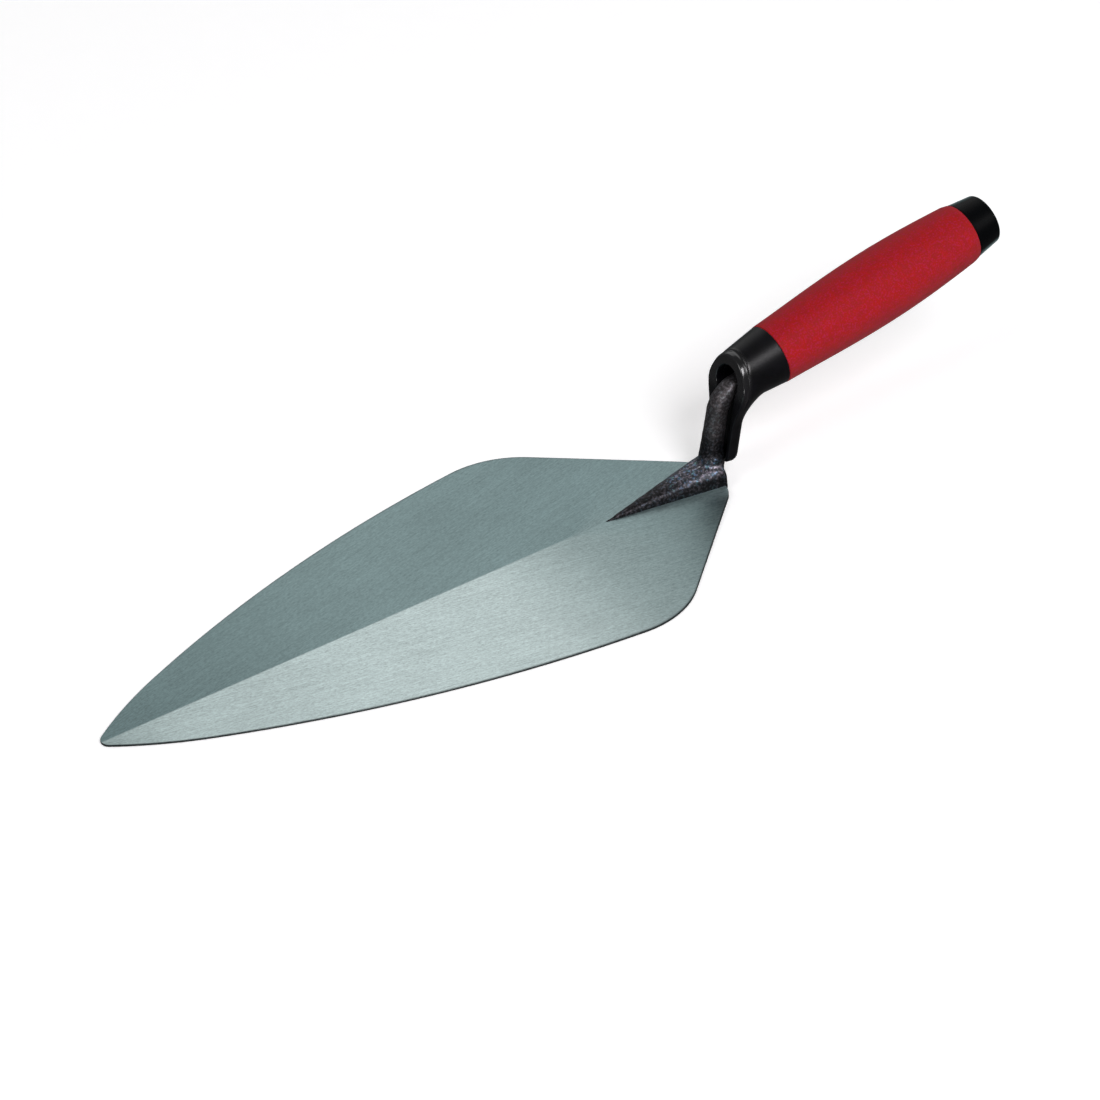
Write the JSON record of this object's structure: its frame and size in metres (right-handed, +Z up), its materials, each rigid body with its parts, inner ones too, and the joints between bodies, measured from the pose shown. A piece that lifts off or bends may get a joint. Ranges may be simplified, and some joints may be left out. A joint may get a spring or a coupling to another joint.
{
  "type": "brick trowel",
  "caption": "London-pattern brick trowel: a one-piece forged steel blade, shank and tang in a cranked handle with a soft red grip, black finger guard and butt cap.",
  "frame": {"origin": "where the shank's centre line meets the blade's underside, 2.8 mm in front of the blade's heel", "axes": "+X along the blade and handle from the tip towards the butt, +Y to the left of that, +Z up from the blade's flat underside towards the handle"},
  "size_m": [0.3796, 0.1206, 0.0717],
  "materials": {
    "forged_steel": "ground and brushed blade, black-oxide boss and shank",
    "hard_black_plastic": "fine moulded grain, semi-matte",
    "soft_red_rubber": "soft-touch, fine texture, matte",
    "cap_black_plastic": "semi-matte"
  },
  "bodies": {
    "root": {"forged_blade": "forged_steel", "handle_core": "hard_black_plastic", "soft_grip": "soft_red_rubber", "butt_cap": "cap_black_plastic"}
  },
  "joints": []
}
